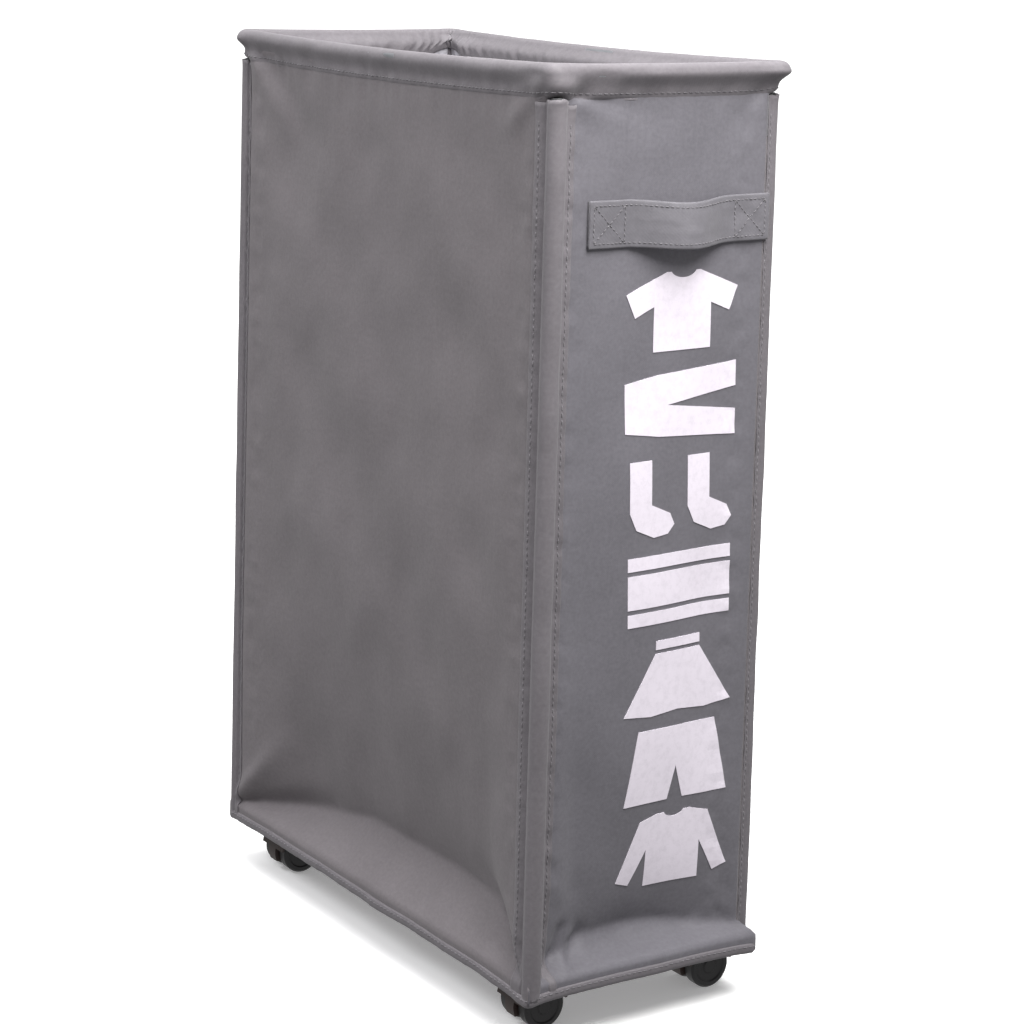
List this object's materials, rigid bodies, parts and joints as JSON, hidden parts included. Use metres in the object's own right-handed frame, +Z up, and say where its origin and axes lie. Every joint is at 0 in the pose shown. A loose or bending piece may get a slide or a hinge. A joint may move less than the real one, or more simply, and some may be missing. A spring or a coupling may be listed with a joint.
{
  "type": "laundry sorter on wheels",
  "caption": "Tall slim rolling laundry bag: grey cloth walls on a wire rim and corner poles, a carrying strap, a printed garment motif and twin-wheel swivel casters under a board.",
  "frame": {"origin": "on the floor, under the middle of the bag", "axes": "+X towards the end with the carrying strap, -Y is the front, +Z up"},
  "size_m": [0.378, 0.171, 0.57],
  "materials": {
    "side_cloth": "plain-woven coated polyester, warm mid grey",
    "end_cloth": "plain-woven coated polyester, mid grey",
    "base_cloth": "plain-woven coated polyester",
    "binding_tape": "folded binding tape",
    "hem_cloth": "plain-woven coated polyester, padded",
    "sleeve_cloth": "plain-woven coated polyester",
    "strap_webbing": "folded cloth strap",
    "white_print": "thin white screen print",
    "rim_wire": "galvanised",
    "ferrule_steel": "crimped",
    "pole_tube": "drawn tube",
    "plug_plastic": "moulded",
    "board": "dark hardboard",
    "caster_plate": "black, satin",
    "bright_steel": "zinc plated",
    "caster_hood": "moulded, very dark brown",
    "wheel_plastic": "moulded, black"
  },
  "bodies": {
    "root": {"front_panel": "side_cloth", "rear_panel": "side_cloth", "strap_end_panel": "end_cloth", "plain_end_panel": "end_cloth", "base_panel": "base_cloth", "base_binding": "binding_tape", "rim_hem": "hem_cloth", "sleeve_front_right": "sleeve_cloth", "sleeve_front_left": "sleeve_cloth", "sleeve_rear_right": "sleeve_cloth", "sleeve_rear_left": "sleeve_cloth", "carrying_strap": "strap_webbing", "printed_motif": "white_print", "rim_wire_right": "rim_wire", "rim_wire_left": "rim_wire", "rim_ferrule_front": "ferrule_steel", "rim_ferrule_rear": "ferrule_steel", "pole_front_right": "pole_tube", "pole_front_left": "pole_tube", "pole_rear_right": "pole_tube", "pole_rear_left": "pole_tube", "pole_cap_front_right": "plug_plastic", "pole_cap_front_left": "plug_plastic", "pole_cap_rear_right": "plug_plastic", "pole_cap_rear_left": "plug_plastic", "pole_foot_front_right": "plug_plastic", "pole_foot_front_left": "plug_plastic", "pole_foot_rear_right": "plug_plastic", "pole_foot_rear_left": "plug_plastic", "base_board": "board", "caster_plate_front_right": "caster_plate", "caster_plate_front_left": "caster_plate", "caster_plate_rear_right": "caster_plate", "caster_plate_rear_left": "caster_plate", "caster_kingpin_front_right": "bright_steel", "caster_kingpin_front_left": "bright_steel", "caster_kingpin_rear_right": "bright_steel", "caster_kingpin_rear_left": "bright_steel", "caster_screws": "bright_steel", "caster_nuts": "bright_steel"},
    "swivel_front_right": {"caster_hood_front_right": "caster_hood", "caster_axle_front_right": "bright_steel"},
    "rolling_wheel_a_front_right": {"wheel_a_front_right": "wheel_plastic"},
    "rolling_wheel_b_front_right": {"wheel_b_front_right": "wheel_plastic"},
    "swivel_front_left": {"caster_hood_front_left": "caster_hood", "caster_axle_front_left": "bright_steel"},
    "rolling_wheel_a_front_left": {"wheel_a_front_left": "wheel_plastic"},
    "rolling_wheel_b_front_left": {"wheel_b_front_left": "wheel_plastic"},
    "swivel_rear_right": {"caster_hood_rear_right": "caster_hood", "caster_axle_rear_right": "bright_steel"},
    "rolling_wheel_a_rear_right": {"wheel_a_rear_right": "wheel_plastic"},
    "rolling_wheel_b_rear_right": {"wheel_b_rear_right": "wheel_plastic"},
    "swivel_rear_left": {"caster_hood_rear_left": "caster_hood", "caster_axle_rear_left": "bright_steel"},
    "rolling_wheel_a_rear_left": {"wheel_a_rear_left": "wheel_plastic"},
    "rolling_wheel_b_rear_left": {"wheel_b_rear_left": "wheel_plastic"}
  },
  "joints": [
    {"name": "caster_swivel_front_right", "type": "hinge", "parent": "root", "child": "swivel_front_right", "pos_m": [0.149, -0.062, 0.03], "axis": [0, 0, 1], "continuous": true},
    {"name": "wheel_a_roll_front_right", "type": "hinge", "parent": "swivel_front_right", "child": "rolling_wheel_a_front_right", "pos_m": [0.149, -0.055, 0.014], "axis": [1, 0, 0], "continuous": true},
    {"name": "wheel_b_roll_front_right", "type": "hinge", "parent": "swivel_front_right", "child": "rolling_wheel_b_front_right", "pos_m": [0.149, -0.055, 0.014], "axis": [1, 0, 0], "continuous": true},
    {"name": "caster_swivel_front_left", "type": "hinge", "parent": "root", "child": "swivel_front_left", "pos_m": [-0.149, -0.062, 0.03], "axis": [0, 0, 1], "continuous": true},
    {"name": "wheel_a_roll_front_left", "type": "hinge", "parent": "swivel_front_left", "child": "rolling_wheel_a_front_left", "pos_m": [-0.149, -0.055, 0.014], "axis": [1, 0, 0], "continuous": true},
    {"name": "wheel_b_roll_front_left", "type": "hinge", "parent": "swivel_front_left", "child": "rolling_wheel_b_front_left", "pos_m": [-0.149, -0.055, 0.014], "axis": [1, 0, 0], "continuous": true},
    {"name": "caster_swivel_rear_right", "type": "hinge", "parent": "root", "child": "swivel_rear_right", "pos_m": [0.149, 0.062, 0.03], "axis": [0, 0, 1], "continuous": true},
    {"name": "wheel_a_roll_rear_right", "type": "hinge", "parent": "swivel_rear_right", "child": "rolling_wheel_a_rear_right", "pos_m": [0.149, 0.069, 0.014], "axis": [1, 0, 0], "continuous": true},
    {"name": "wheel_b_roll_rear_right", "type": "hinge", "parent": "swivel_rear_right", "child": "rolling_wheel_b_rear_right", "pos_m": [0.149, 0.069, 0.014], "axis": [1, 0, 0], "continuous": true},
    {"name": "caster_swivel_rear_left", "type": "hinge", "parent": "root", "child": "swivel_rear_left", "pos_m": [-0.149, 0.062, 0.03], "axis": [0, 0, 1], "continuous": true},
    {"name": "wheel_a_roll_rear_left", "type": "hinge", "parent": "swivel_rear_left", "child": "rolling_wheel_a_rear_left", "pos_m": [-0.149, 0.069, 0.014], "axis": [1, 0, 0], "continuous": true},
    {"name": "wheel_b_roll_rear_left", "type": "hinge", "parent": "swivel_rear_left", "child": "rolling_wheel_b_rear_left", "pos_m": [-0.149, 0.069, 0.014], "axis": [1, 0, 0], "continuous": true}
  ]
}
